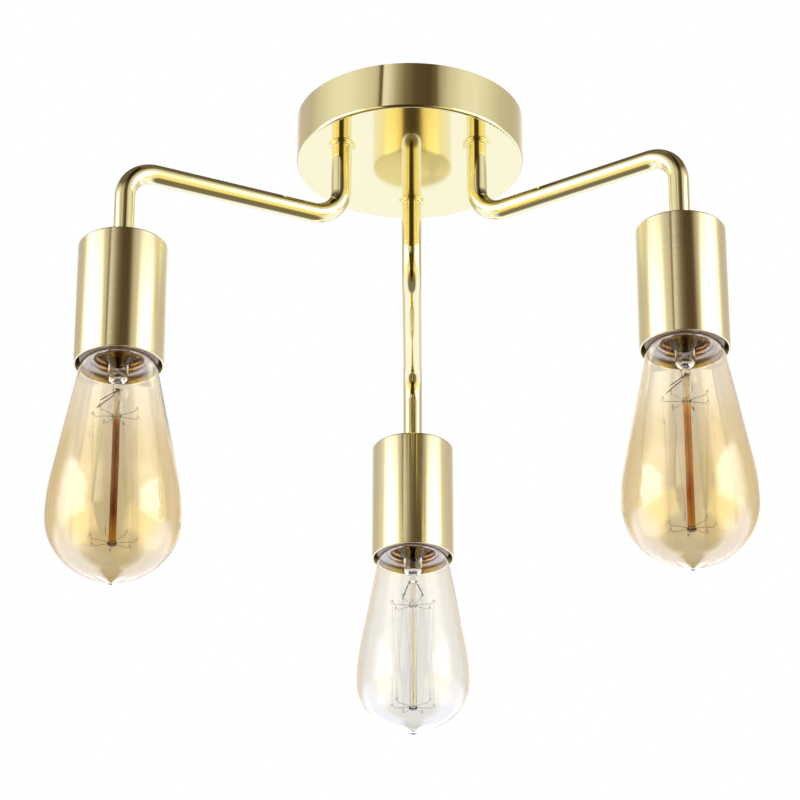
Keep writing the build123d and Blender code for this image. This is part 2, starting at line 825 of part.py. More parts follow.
print(f"unscrew travel {travel:.3f} mm over {screw_turns:g} turns,", end=" ")
print(f"{screw_pitch / (2 * pi):.6f} mm per radian")
for arm_name, place in lamp.items():
    print(arm_name, "lamp axis", round(place.X, 4), round(place.Y, 4), "mouth z", round(place.Z, 3))
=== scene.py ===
from functools import cache
from math import acos, asin, atan2, cos, degrees, pi, radians, sin
from random import Random

import bmesh
import bpy
from bpy.props import FloatProperty, FloatVectorProperty, IntProperty, PointerProperty
from mathutils import Euler, Matrix, Vector


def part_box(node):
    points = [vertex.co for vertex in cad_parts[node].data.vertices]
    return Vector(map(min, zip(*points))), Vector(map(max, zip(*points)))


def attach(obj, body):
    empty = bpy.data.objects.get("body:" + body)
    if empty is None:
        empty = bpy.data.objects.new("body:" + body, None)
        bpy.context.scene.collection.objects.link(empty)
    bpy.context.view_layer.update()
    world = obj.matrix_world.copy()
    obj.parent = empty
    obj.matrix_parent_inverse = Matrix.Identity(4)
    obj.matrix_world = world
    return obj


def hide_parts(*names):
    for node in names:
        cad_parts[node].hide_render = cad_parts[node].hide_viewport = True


bl_info = {
    "name": "Semi flush ceiling light",
    "version": (1, 0, 0),
    "blender": (4, 5, 0),
    "location": "3D View > Sidebar > Ceiling light",
    "description": "Builds a brass ceiling light with three globe filament bulbs around its CAD model",
    "category": "Object",
}

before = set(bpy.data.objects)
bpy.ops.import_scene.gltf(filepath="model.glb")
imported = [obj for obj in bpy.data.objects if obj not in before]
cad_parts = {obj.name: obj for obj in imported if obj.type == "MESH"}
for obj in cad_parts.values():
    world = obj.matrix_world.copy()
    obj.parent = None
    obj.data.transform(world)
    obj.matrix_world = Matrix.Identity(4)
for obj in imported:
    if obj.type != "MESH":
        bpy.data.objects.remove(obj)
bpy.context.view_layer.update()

MM = 0.001
ARMS = ("left", "right", "rear")
SLIP = 0.05 * MM  # radial clearance of what slides onto another piece


# -------------------- settings
def length(name, millimetres, description):
    """A size that a user would change, shown in the scene's length unit."""
    return FloatProperty(
        name=name, description=description, default=millimetres * MM, min=0.0, unit="LENGTH"
    )


def colour(name, rgb, description):
    """A colour that a user would change."""
    return FloatVectorProperty(
        name=name, description=description, default=rgb, min=0.0, max=1.0, subtype="COLOR"
    )


def amount(name, value, description, top=1.0):
    """A plain number that a user would change."""
    return FloatProperty(name=name, description=description, default=value, min=0.0, max=top)


class LIGHT_PG_sizes(bpy.types.PropertyGroup):
    """Sizes that the frame doesn't give."""

    bend_radius: length("Bend radius", 16.0, "Centre line radius of the arms' bends")
    tube_wall: length("Tube wall", 1.0, "Wall of the arm tubes")
    cup_wall: length("Cup wall", 0.8, "Wall of the cups")
    cup_edge: length("Cup edge", 1.0, "Rounding of the cups' closed end")
    cup_lip: length("Cup lip", 0.3, "Rounding of the cups' mouth")
    bulb_wall: length("Bulb wall", 0.7, "Wall of the blown glass")
    neck_radius: length("Neck radius", 11.7, "Outer radius of the bulb's neck inside its cap")
    shoulder_radius: length("Shoulder radius", 5.0, "Rounding between the bulb's flank and neck")
    flank_radius: length("Flank radius", 110.0, "Radius of the bulb's side above its widest ring")
    seal_height: length("Seal height", 4.0, "Height of the pointed seal below the bulb's bowl")
    seal_radius: length("Seal radius", 8.0, "Radius at which the seal rises out of the bowl")
    thread_pitch: length("Thread pitch", 3.629, "Pitch of the bulb caps and thread shells")
    thread_depth: length("Thread depth", 0.9, "Depth of the rolled thread")
    sheet_wall: length("Sheet wall", 0.25, "Wall of the rolled caps and shells")
    support_wire: length("Support wire", 0.2, "Diameter of the hooked support wires")
    filament_wire: length("Filament", 0.06, "Diameter of the filament")
    lead_wire: length("Lead wire", 0.5, "Diameter of the lead wires")
    segments: IntProperty(
        name="Segments", description="Steps in a full turn of a round piece", default=128, min=16
    )


class LIGHT_PG_finishes(bpy.types.PropertyGroup):
    """Colours and glosses of the materials."""

    brass: colour("Brass", (0.91, 0.845, 0.50), "Polished and lacquered brass")
    brass_gloss: amount("Brass roughness", 0.06, "Roughness of the polished brass")
    cup: colour("Cup brass", (0.95, 0.868, 0.56), "Turned and lacquered brass of the cups")
    cup_gloss: amount("Cup roughness", 0.2, "Roughness of the cups, turned with fine lines round them")
    plain_brass: colour("Plain brass", (0.72, 0.50, 0.22), "Bare machined brass")
    zinc: colour("Zinc", (0.56, 0.57, 0.60), "Zinc plated steel")
    nylon: colour("Nylon", (0.80, 0.78, 0.72), "Moulded terminal block")
    cable: colour("Cable", (0.78, 0.76, 0.71), "Cable jacket")
    # The porcelain colour is painted shade: white glaze darkened and browned to the tone the holder shows
    # deep in the cup.
    porcelain: colour("Porcelain", (0.62, 0.46, 0.27), "Glazed lampholder body")
    amber: colour("Amber glass", (0.86, 0.755, 0.52), "Amber film of the side bulbs")
    clear: colour("Clear glass", (0.925, 0.92, 0.895), "Glass of the rear bulb")
    neck: colour("Neck glass", (0.95, 0.935, 0.895), "Untinted glass towards a bulb's neck")
    amber_neck: colour("Amber neck", (0.965, 0.925, 0.84), "Thin film towards a side bulb's neck and tip")
    # Flare is painted shade and painted reflection: the brown seen in the dim brass cap, put into the
    # stems' glass.
    flare: colour("Flare", (0.88, 0.64, 0.40), "Browned glass of the stems inside the caps")
    # The side rods' colours are painted light and shade of clear glass rods: the left rod painted dark,
    # the right golden, both deeper lower down, with a painted golden glow at the foot.
    rod_left: colour("Left rod", (0.25, 0.11, 0.055), "Glass rod in the left bulb")
    rod_left_low: colour("Left rod low", (0.19, 0.025, 0.0), "Lower part of the left bulb's rod")
    rod_right: colour("Right rod", (0.54, 0.26, 0.09), "Glass rod in the right bulb")
    rod_right_low: colour("Right rod low", (0.42, 0.07, 0.0), "Lower part of the right bulb's rod")
    rod_foot_glow: colour("Rod foot", (0.60, 0.28, 0.02), "Golden foot of the side bulbs' rods")
    rod_clear: colour("Clear rod", (0.90, 0.83, 0.66), "Glass rod in the rear bulb")
    wire: colour("Wire", (0.16, 0.14, 0.12), "Support and lead wires")
    cap: colour("Cap", (0.78, 0.46, 0.19), "Rolled caps and thread shells")


class LIGHT_PG_stage(bpy.types.PropertyGroup):
    """Camera and studio."""

    camera_place: FloatVectorProperty(
        name="Camera place", description="Where the camera stands", default=(0.0362, -1.6766, -0.9919),
        subtype="TRANSLATION",
    )
    camera_pitch: FloatProperty(
        name="Camera pitch", description="Upward tilt", default=radians(26.417), subtype="ANGLE"
    )
    camera_yaw: FloatProperty(
        name="Camera yaw", description="Turn away from +Y", default=radians(-1.409), subtype="ANGLE"
    )
    camera_lens: FloatProperty(name="Lens", description="Focal length in millimetres", default=171.0)
    floor_drop: length("Floor drop", 2400.0, "How far the floor lies below the ceiling")
    fill: amount("Fill", 0.62, "Strength of the even light on what doesn't mirror", 3.0)
    mirrored: amount("Mirrored studio", 1.2, "Strength of the studio that metal and glass mirror", 5.0)
    in_glass: amount("Studio in glass", 2.5, "Strength of the studio that is mirrored inside glass", 9.0)
    softbox: amount("Softbox", 1.55, "Strength of the two softboxes at the sides", 50.0)


# -------------------- places from the frame
def lamp_centre(arm):
    """The centre of a cup's mouth."""
    low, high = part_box(f"lamp_cup_{arm}")
    return Vector(((low.x + high.x) / 2, (low.y + high.y) / 2, low.z))


def hole_centre(arm):
    """Where an arm's axis meets the canopy's face."""
    low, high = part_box(f"arm_collar_{arm}")
    return Vector(((low.x + high.x) / 2, (low.y + high.y) / 2, high.z))


def reach(node, centre):
    """A node's lowest and highest levels above a centre, and its radius about it."""
    low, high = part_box(node)
    return low.z - centre.z, high.z - centre.z, (high.x - low.x) / 2


# -------------------- mesh helpers
def only(kind, parts):
    """Those of a mesh's parts that are of one kind."""
    return [part for part in parts if isinstance(part, kind)]


def whole(mesh):
    """All of a mesh's parts."""
    return mesh.verts[:] + mesh.edges[:] + mesh.faces[:]


class Outline:
    """A chain of edges in the XZ plane, drawn with lines and arcs and then turned about Z."""

    def __init__(self, x, z):
        self.mesh = bmesh.new()
        self.end = self.mesh.verts.new((x, 0, z))
        self.start = self.end

    def line(self, x, z):
        """A straight run to a point."""
        new = bmesh.ops.extrude_vert_indiv(self.mesh, verts=[self.end])["verts"][0]
        new.co = (x, 0, z)
        self.end = new
        return self

    def arc(self, x, z, degrees, steps=6):
        """A run round a centre, positive from +X towards +Z."""
        last = bmesh.ops.spin(
            self.mesh, geom=[self.end], cent=(x, 0, z), axis=(0, -1, 0),
            angle=radians(degrees), steps=steps,
        )["geom_last"]
        self.end = only(bmesh.types.BMVert, last)[0]
        return self

    def close(self):
        """The last run, back to the start."""
        self.mesh.edges.new((self.end, self.start))
        return self

    def turned(self, segments):
        """The solid of revolution about Z."""
        bmesh.ops.spin(
            self.mesh, geom=whole(self.mesh), cent=(0, 0, 0), axis=(0, 0, 1), angle=2 * pi,
            steps=segments, use_merge=True,
        )
        bmesh.ops.remove_doubles(self.mesh, verts=self.mesh.verts[:], dist=1e-6)
        on_axis = [edge for edge in self.mesh.edges if edge.is_wire]
        bmesh.ops.delete(self.mesh, geom=on_axis, context="EDGES")
        bmesh.ops.recalc_face_normals(self.mesh, faces=self.mesh.faces[:])
        return self.mesh


def shown(mesh, name, material):
    """A new object in the scene, of a bmesh and one material."""
    data = bpy.data.meshes.new(name)
    mesh.to_mesh(data)
    mesh.free()
    data.materials.append(material)
    thing = bpy.data.objects.new(name, data)
    bpy.context.scene.collection.objects.link(thing)
    return thing


def finished(mesh, name, place, body, nodes, material, sharp=32.0):
    """Makes a piece of a bmesh, puts its place in its mesh and ties it to the frame."""
    bmesh.ops.translate(mesh, verts=mesh.verts[:], vec=place)
    for face in mesh.faces:
        face.smooth = True
    for edge in mesh.edges:
        edge.smooth = len(edge.link_faces) == 2 and edge.calc_face_angle() < radians(sharp)
    piece = shown(mesh, name, material)
    if nodes:
        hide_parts(*nodes)
    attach(piece, body)
    return piece


def fitted(arm, name, mesh, node, material, body="fixture", sharp=32.0):
    """Finishes a piece drawn from the centre of a cup's mouth, in place of a CAD node if it has one."""
    nodes = [f"{node}_{arm}"] if node else []
    return finished(mesh, f"{name}_{arm}", lamp_centre(arm), body, nodes, material, sharp)


def merged_copy(node, name, material):
    """A copy of a fixed CAD node with its triangles merged and its round faces shaded smooth."""
    mesh = bmesh.new()
    mesh.from_mesh(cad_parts[node].data)
    bmesh.ops.remove_doubles(mesh, verts=mesh.verts[:], dist=1e-6)
    bmesh.ops.dissolve_degenerate(mesh, edges=mesh.edges[:], dist=1e-7)
    piece = finished(mesh, name, (0, 0, 0), "fixture", [node], material)
    normals = piece.modifiers.new("even_shading", "WEIGHTED_NORMAL")
    normals.weight = 100
    normals.keep_sharp = True


def wires(paths, diameter):
    """Round wires along smooth lines through lists of points, as one mesh."""
    line = bpy.data.curves.new("wires", "CURVE")
    line.dimensions = "3D"
    line.bevel_depth = diameter / 2
    line.bevel_resolution = 1
    line.resolution_u = 4
    line.use_fill_caps = True
    for points in paths:
        spline = line.splines.new("NURBS")
        spline.points.add(len(points) - 1)
        for knot, point in zip(spline.points, points):
            knot.co = (*point, 1.0)
        spline.order_u = 3
        spline.use_endpoint_u = True
    holder = bpy.data.objects.new("wires", line)
    data = bpy.data.meshes.new_from_object(holder)
    mesh = bmesh.new()
    mesh.from_mesh(data)
    bpy.data.objects.remove(holder)
    bpy.data.curves.remove(line)
    bpy.data.meshes.remove(data)
    bmesh.ops.remove_doubles(mesh, verts=mesh.verts[:], dist=1e-7)
    return mesh


# -------------------- material helpers
class Nodes:
    """A node tree under construction."""

    def __init__(self, tree):
        self.tree = tree

    def feed(self, value, socket):
        """Links a socket to its source, or gives it a plain value or colour."""
        if isinstance(value, bpy.types.NodeSocket):
            self.tree.links.new(value, socket)
        elif socket.type == "RGBA":
            socket.default_value = (*value, 1.0)
        else:
            socket.default_value = value

    def node(self, kind, inputs=(), **settings):
        """A new node with its settings, and with what feeds its inputs."""
        node = self.tree.nodes.new(f"ShaderNode{kind}")
        for key, value in settings.items():
            setattr(node, key, value)
        for key, value in dict(inputs).items():
            self.feed(value, node.inputs[key])
        return node

    def math(self, operation, *values, use_clamp=False):
        """A calculation on numbers or links to them."""
        return self.node("Math", enumerate(values), operation=operation, use_clamp=use_clamp).outputs[0]

    def parts(self, vector):
        """The X, Y and Z of a vector."""
        return self.node("SeparateXYZ", {"Vector": vector}).outputs

    def ranged(self, source, low, high, to_low, to_high, interpolation="LINEAR"):
        """A value carried from one range to another."""
        inputs = {"Value": source, "From Min": low, "From Max": high, "To Min": to_low, "To Max": to_high}
        return self.node("MapRange", inputs, interpolation_type=interpolation).outputs["Result"]

    def ramp(self, source, stops):
        """A colour ramp through (position, colour) stops."""
        ramp = self.node("ValToRGB", {"Fac": source})
        elements = ramp.color_ramp.elements
        elements.remove(elements[1])
        for number, (position, shade) in enumerate(stops):
            element = elements[0] if number == 0 else elements.new(position)
            element.position, element.color = position, (*shade, 1.0)
        return ramp.outputs["Color"]

    def blended(self, factor, first, second, mode="MIX"):
        """Two colours, or links to them, blended by a factor."""
        inputs = {0: factor, 6: first, 7: second}
        return self.node("Mix", inputs, data_type="RGBA", blend_type=mode).outputs[2]


class Finish(Nodes):
    """A procedural material under construction."""

    def __init__(self, name):
        self.material = bpy.data.materials.new(name)
        self.material.use_nodes = True
        super().__init__(self.material.node_tree)
        self.shader = self.tree.nodes["Principled BSDF"]
        self.place = self.node("TexCoord").outputs["Object"]

    def set(self, **values):
        """Sets the shader's own sockets, with underscores for the spaces in their names."""
        for key, value in values.items():
            self.shader.inputs[key.replace("_", " ")].default_value = value
        return self

    def noise(self, scale, detail=3.0, stretch=(1, 1, 1)):
        """A noise pattern in object space; scale is in cells per metre."""
        stretched = self.node("Mapping", {"Scale": stretch, "Vector": self.place}).outputs["Vector"]
        inputs = {"Scale": scale, "Detail": detail, "Vector": stretched}
        return self.node("TexNoise", inputs).outputs["Fac"]

    def height(self):
        """The level of a point, in metres from the ceiling."""
        return self.parts(self.place)["Z"]

    def link(self, source, key):
        """Links a pattern to one of the shader's sockets."""
        self.tree.links.new(source, self.shader.inputs[key])
        return self

    def turned(self, strength):
        """Smears what an upright wall mirrors up and down, as fine lines turned round it do."""
        normal = self.node("NewGeometry").outputs["Normal"]
        # The axis is a little off upright, or a level face would have no direction at all.
        across = self.node("VectorMath", {0: normal, 1: (0.02, 0.01, 1.0)}, operation="CROSS_PRODUCT")
        self.set(Anisotropic=strength, Anisotropic_Rotation=0.25)
        return self.link(across.outputs["Vector"], "Tangent")

    def bump(self, source, strength, distance):
        """Raises the surface by a pattern."""
        inputs = {"Strength": strength, "Distance": distance, "Height": source}
        return self.link(self.node("Bump", inputs).outputs["Normal"], "Normal")


def shaded(rgb, factor):
    """A colour made lighter or darker."""
    return tuple(min(channel * factor, 1.0) for channel in rgb)


def brushed_metal(name, rgb, roughness, spread, stretch, coat=0.0, turning=0.0):
    """Metal with fine drawn lines, cloudy tarnish and a roughness that varies."""
    finish = Finish(name).set(Metallic=1.0, Coat_Weight=coat, Coat_Roughness=0.03)
    if turning:
        finish.turned(turning)
    lines = finish.noise(900.0, 4.0, stretch)
    clouds = finish.noise(28.0, 2.0)
    tone = finish.blended(clouds, shaded(rgb, 0.965), shaded(rgb, 1.02))
    tone = finish.blended(finish.ranged(lines, 0.3, 0.7, 0.0, 0.5), tone, shaded(rgb, 0.94))
    finish.link(tone, "Base Color")
    finish.link(finish.ranged(lines, 0.25, 0.75, roughness - spread, roughness + spread), "Roughness")
    finish.bump(lines, 0.02, 0.00002)
    return finish.material


@cache
def metal(name):
    """One of the light's metals."""
    finishes = bpy.context.scene.light_finishes
    # Colour, roughness, how far that varies and how the lines are stretched; coat and turning.
    metals = {
        "polished_brass": (finishes.brass, finishes.brass_gloss, 0.015, (1, 1, 0.05), 0.35),
        "cup_brass": (finishes.cup, finishes.cup_gloss, 0.02, (0.04, 0.04, 1), 0.25, 1.0),
        "plain_brass": (finishes.plain_brass, 0.3, 0.08, (1, 1, 1)),
        "zinc_steel": (finishes.zinc, 0.32, 0.08, (0.1, 1, 1)),
        "rolled_cap": (finishes.cap, 0.28, 0.08, (1, 1, 0.2)),
        "drawn_wire": (finishes.wire, 0.4, 0.08, (1, 1, 1)),
        "filament_metal": (shaded(finishes.wire, 2.3), 0.55, 0.1, (1, 1, 1)),
    }
    return brushed_metal(name, *metals[name])


@cache
def terminal_nylon():
    """Slightly waxy plastic with a moulded grain."""
    nylon = bpy.context.scene.light_finishes.nylon
    finish = Finish("terminal_nylon").set(Roughness=0.45, Subsurface_Weight=0.1, Subsurface_Scale=0.001)
    grain = finish.noise(600.0)
    finish.link(finish.blended(grain, shaded(nylon, 0.94), shaded(nylon, 1.03)), "Base Color")
    return finish.bump(grain, 0.08, 0.00005).material


@cache
def cable_jacket():
    """Soft plastic, unevenly matt."""
    cable = bpy.context.scene.light_finishes.cable
    finish = Finish("cable_jacket").set(IOR=1.5)
    mottle = finish.noise(240.0)
    finish.link(finish.blended(mottle, shaded(cable, 0.93), cable), "Base Color")
    finish.link(finish.ranged(mottle, 0.3, 0.7, 0.42, 0.6), "Roughness")
    return finish.bump(mottle, 0.1, 0.00008).material


@cache
def glazed_porcelain():
    """Glaze with a faint orange peel, pooled darker in patches and with fine specks."""
    # The colour it starts from is painted shade of the cup's inside, not the glaze's own white.
    porcelain = bpy.context.scene.light_finishes.porcelain
    finish = Finish("glazed_porcelain").set(Coat_Weight=0.8, Coat_Roughness=0.05, Roughness=0.35)
    pools = finish.noise(120.0, 2.0)
    specks = finish.ranged(finish.noise(2600.0, 1.0), 0.68, 0.72, 0.0, 0.5)
    tone = finish.blended(pools, shaded(porcelain, 0.86), shaded(porcelain, 1.1))
    finish.link(finish.blended(specks, tone, shaded(porcelain, 0.45)), "Base Color")
    return finish.bump(finish.noise(500.0, 1.0), 0.15, 0.00006).material


@cache
def black_glass():
    """The fused black insulator of a cap, slightly rippled."""
    finish = Finish("black_glass").set(Roughness=0.12, Coat_Weight=0.5)
    ripple = finish.noise(300.0, 2.0)
    finish.link(finish.blended(ripple, (0.012, 0.012, 0.016), (0.03, 0.028, 0.034)), "Base Color")
    return finish.bump(ripple, 0.2, 0.0001).material


def blown_glass(name, tint, neck, top, bottom, ior):
    """Blown glass whose film thickens from the neck down, with paler streaks that are partly an uneven
    film and partly painted streaky reflection, and soft waves.
    """
    finish = Finish(name).set(Transmission_Weight=1.0, IOR=ior, Roughness=0.0)
    fall = finish.ranged(finish.height(), top, bottom, 0.0, 1.0)
    streaks = finish.noise(60.0, 3.0, (1, 1, 0.12))
    film = finish.ramp(
        fall,
        [(0.0, neck), (0.14, neck), (0.42, tint), (0.78, tint), (1.0, shaded(tint, 1.06))],
    )
    # Paler upright streaks: partly uneven film, partly painted reflection.
    tone = finish.blended(finish.ranged(streaks, 0.35, 0.65, 0.0, 0.35), film, neck)
    finish.link(tone, "Base Color")
    return finish.bump(finish.noise(45.0, 1.0, (1, 1, 0.3)), 0.25, 0.0004).material


def bulb_glass(arm):
    """The glass of one bulb, tinted between its neck and tip."""
    finishes = bpy.context.scene.light_finishes
    top, bottom = lamp_centre(arm).z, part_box(f"bulb_glass_{arm}")[0].z
    if arm == "rear":
        return blown_glass("clear_glass", finishes.clear, finishes.neck, top, bottom, 1.5)
    name = f"amber_glass_{arm}"
    return blown_glass(name, finishes.amber, finishes.amber_neck, top, bottom, 1.95)


@cache
def stem_glass():
    """The stems' glass, painted brown inside the caps: painted shade and painted reflection of the brass
    round the neck.
    """
    finish = Finish("stem_glass").set(Transmission_Weight=1.0, IOR=1.56, Roughness=0.0)
    clouds = finish.noise(90.0, 2.0)
    tone = finish.blended(clouds, (0.93, 0.90, 0.84), (0.99, 0.98, 0.96))
    # Inside the caps the glass is painted brown for the shade and the reflected brass there.
    mouth, blend = lamp_centre("left").z, 3 * MM
    inside = finish.ranged(finish.height(), mouth - blend, mouth + blend, 0.0, 1.0)
    cap_shade_tone = finish.blended(inside, tone, bpy.context.scene.light_finishes.flare)
    finish.link(cap_shade_tone, "Base Color")
    return finish.bump(finish.noise(260.0, 2.0), 0.5, 0.0004).material


def rod_glass(arm):
    """The glass of one bulb's rod, coloured with painted light and shade; in the side bulbs it is painted
    deeper downwards, with a painted glow at its foot.
    """
    finishes = bpy.context.scene.light_finishes
    finish = Finish(f"rod_glass_{arm}").set(Transmission_Weight=1.0, IOR=1.45, Roughness=0.0)
    pale = finishes.rod_clear
    if arm == "rear":
        upper, lower = shaded(pale, 0.97), shaded(pale, 0.95)
        foot = lower
    else:
        upper, lower = getattr(finishes, f"rod_{arm}"), getattr(finishes, f"rod_{arm}_low")
        foot = finishes.rod_foot_glow
    # Painted light and shade: a lighter band where the rod starts, a darker band at its seat and a dark
    # painted tip.
    start, seat, dark = shaded(upper, 1.6), shaded(pale, 0.8), shaded(pale, 0.3)
    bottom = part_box(f"bulb_stem_{arm}")[0].z
    fall = finish.ranged(finish.height(), lamp_centre(arm).z, bottom, 0.0, 1.0)
    tone = finish.ramp(
        fall,
        [(0.265, pale), (0.275, seat), (0.30, seat), (0.315, start), (0.38, upper), (0.66, upper),
         (0.72, lower), (0.82, lower), (0.955, foot), (0.98, foot), (0.983, dark), (1.0, dark)],
    )
    streaks = finish.ranged(finish.noise(500.0, 2.0, (1, 1, 0.1)), 0.35, 0.65, 0.0, 0.3)
    tone = finish.blended(streaks, tone, start)
    # Painted shade: the rod darkens towards its outline.
    facing = finish.node("LayerWeight", {"Blend": 0.4}).outputs["Facing"]
    edge = finish.ranged(facing, 0.35, 0.9, 0.0, 0.75)
    return finish.link(finish.blended(edge, tone, shaded(upper, 0.25)), "Base Color").material


# -------------------- canopy and fixings
class LIGHT_OT_canopy(bpy.types.Operator):
    """Builds the canopy and dresses what is fixed inside it"""

    bl_idname = "ceiling_light.canopy"
    bl_label = "Canopy and fixings"

    def execute(self, context):
        merged_copy("canopy", "canopy_drum", metal("polished_brass"))
        steel = ("ceiling_bracket", "canopy_grub_screws", "arm_washers", "arm_lock_nuts",
                 "terminal_screws", "block_screw", "holder_yokes", "yoke_screws", "lamp_nuts",
                 "holder_terminal_screws")
        kinds = (
            (steel, "zinc_steel", metal("zinc_steel")),
            (("earth_screw", "holder_terminals"), "terminal_brass", metal("plain_brass")),
            (("terminal_block",), "block_nylon", terminal_nylon()),
        )
        for nodes, slot, material in kinds:
            for node in nodes:
                merged_copy(node, f"{node}_finished", material)
        for arm in ARMS:
            merged_copy(f"arm_cable_{arm}", f"cable_{arm}", cable_jacket())
        return {"FINISHED"}


# -------------------- arms
def swept_tube(arm, sizes):
    """Both walls of one arm's tube, drawn down, round and out along its centre line."""
    hole, lamp = hole_centre(arm), lamp_centre(arm)
    low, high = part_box(f"arm_tube_{arm}")
    out = (lamp - hole).to_2d().normalized().to_3d()
    side = Vector((0, 0, 1)).cross(out)
    radius, run, bend = tube_radius(), level_run(arm), sizes.bend_radius
    rise = Vector((0, 0, bend))
    top = Matrix.Translation((hole.x, hole.y, high.z))
    corner = Vector((hole.x, hole.y, run))
    far_corner = Vector((lamp.x, lamp.y, run))
    mesh = bmesh.new()

    def straight(edges, step):
        new = bmesh.ops.extrude_edge_only(mesh, edges=edges)["geom"]
        bmesh.ops.translate(mesh, verts=only(bmesh.types.BMVert, new), vec=step)
        return only(bmesh.types.BMEdge, new)

    def bent(edges, centre, axis):
        last = bmesh.ops.spin(
            mesh, geom=edges, cent=centre, axis=axis, angle=pi / 2, steps=sizes.segments // 5
        )["geom_last"]
        return only(bmesh.types.BMEdge, last)

    first, last = [], []
    for ring in (radius, radius - sizes.tube_wall):
        old_faces, old_edges = set(mesh.faces), set(mesh.edges)
        bmesh.ops.create_circle(mesh, segments=sizes.segments // 2, radius=ring, matrix=top)
        edges = [edge for edge in mesh.edges if edge not in old_edges]
        first += edges
        edges = straight(edges, Vector((0, 0, run + bend - high.z)))
        edges = bent(edges, corner + out * bend + rise, -side)
        edges = straight(edges, out * ((far_corner - corner).length - 2 * bend))
        edges = bent(edges, far_corner - out * bend - rise, side)
        last += straight(edges, Vector((0, 0, low.z - (run - bend))))
        wall = [face for face in mesh.faces if face not in old_faces]
        bmesh.ops.recalc_face_normals(mesh, faces=wall)
    # The inner wall is turned round before the ends are bridged, so that they aren't twisted.
    bmesh.ops.reverse_faces(mesh, faces=wall)
    for end in (first, last):
        bmesh.ops.bridge_loops(mesh, edges=end)
    bmesh.ops.remove_doubles(mesh, verts=mesh.verts[:], dist=1e-7)
    bmesh.ops.recalc_face_normals(mesh, faces=mesh.faces[:])
    return mesh


def tube_radius():
    """The arms' outer radius, from the level run of the arm that points straight back."""
    low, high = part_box("arm_tube_rear")
    spread = abs(hole_centre("rear").x - lamp_centre("rear").x)
    return (high.x - low.x - spread) / 2


def level_run(arm):
    """The height of the centre line of an arm's level run."""
    hole, lamp = hole_centre(arm), lamp_centre(arm)
    middle = (hole + lamp) / 2
    inside = (lamp - hole).to_2d().length / 2 - 0.9 * bpy.context.scene.light_sizes.bend_radius
    levels = [
        vertex.co.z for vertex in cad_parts[f"arm_tube_{arm}"].data.vertices
        if (vertex.co - middle).to_2d().length < inside
    ]
    return (min(levels) + max(levels)) / 2


def turned_collar(arm, segments):
    """The flange against the canopy and the rounded bead below it."""
    drop, top, flange = reach(f"arm_collar_{arm}", hole_centre(arm))
    flange_height, bead_inset, edge = 0.5 * MM, 0.8 * MM, 0.12 * MM
    bore = tube_radius() + SLIP
    step = top - flange_height
    bead = (step - drop) / 2
    bead_centre = flange - bead_inset - bead
    outline = Outline(bore, top).line(flange - edge, top)
    outline.arc(flange - edge, top - edge, -90, 4).line(flange, step + edge)
    outline.arc(flange - edge, step + edge, -90, 4).line(bead_centre, step)
    outline.arc(bead_centre, step - bead, -180, 12).line(bore, drop).close()
    return outline.turned(segments // 2)


class LIGHT_OT_arms(bpy.types.Operator):
    """Builds the three bent tubes and their collars"""

    bl_idname = "ceiling_light.arms"
    bl_label = "Arms"

    def execute(self, context):
        sizes, brass = context.scene.light_sizes, metal("polished_brass")
        for arm in ARMS:
            finished(swept_tube(arm, sizes), f"tube_{arm}", (0, 0, 0), "fixture",
                     [f"arm_tube_{arm}"], brass)
            finished(turned_collar(arm, sizes.segments), f"collar_{arm}", hole_centre(arm), "fixture",
                     [f"arm_collar_{arm}"], brass)
        return {"FINISHED"}


# -------------------- cups and lampholders
def turned_cup(arm, sizes):
    """A drawn cup: rounded closed end with the tube's hole, and a softened mouth."""
    top, radius = reach(f"lamp_cup_{arm}", lamp_centre(arm))[1:]
    wall, edge, lip = sizes.cup_wall, sizes.cup_edge, sizes.cup_lip
    hole = tube_radius() + SLIP
    outline = Outline(hole, top).line(radius - edge, top)
    outline.arc(radius - edge, top - edge, -90, 8).line(radius, lip)
    outline.arc(radius - lip, lip, -90, 4).line(radius - wall + lip, 0)
    outline.arc(radius - wall + lip, lip, -90, 4).line(radius - wall, top - wall - lip)
    outline.arc(radius - wall - lip, top - wall - lip, 90, 4).line(hole, top - wall).close()
    return outline.turned(sizes.segments)


def thread_sheet(radius, low, high, sizes):
    """A thin wall rolled into a round thread between two levels."""
    pitch, steps, waves = sizes.thread_pitch, sizes.segments // 2, 10
    turns = int((high - low) / pitch) + 3
    mesh = bmesh.new()
    wave = [
        mesh.verts.new((
            radius - sizes.thread_depth / 2 * (1 - cos(2 * pi * step / waves)), 0,
            low + pitch * (step / waves - 1.5),
        ))
        for step in range(waves + 1)
    ]
    for pair in zip(wave, wave[1:]):
        mesh.edges.new(pair)
    bmesh.ops.spin(
        mesh, geom=whole(mesh), cent=(0, 0, 0), axis=(0, 0, 1),
        dvec=(0, 0, pitch / steps), angle=2 * pi * turns, steps=steps * turns,
    )
    bmesh.ops.remove_doubles(mesh, verts=mesh.verts[:], dist=2e-6)
    for level, keep in ((low, -1), (high, 1)):
        bmesh.ops.bisect_plane(
            mesh, geom=whole(mesh), plane_co=(0, 0, level), plane_no=(0, 0, keep), clear_outer=True
        )
    return mesh


def rim(mesh, level, rings):
    """Continues a wall from its open edge at a level through rings of (radius, level)."""
    edges = [
        edge for edge in mesh.edges
        if edge.is_boundary and all(abs(v.co.z - level) < 1e-5 for v in edge.verts)
    ]
    for radius, height in rings:
        edges = only(bmesh.types.BMEdge, bmesh.ops.extrude_edge_only(mesh, edges=edges)["geom"])
        for vertex in {v for edge in edges for v in edge.verts}:
            flat = vertex.co.to_2d().normalized() * radius
            vertex.co = (flat.x, flat.y, height)


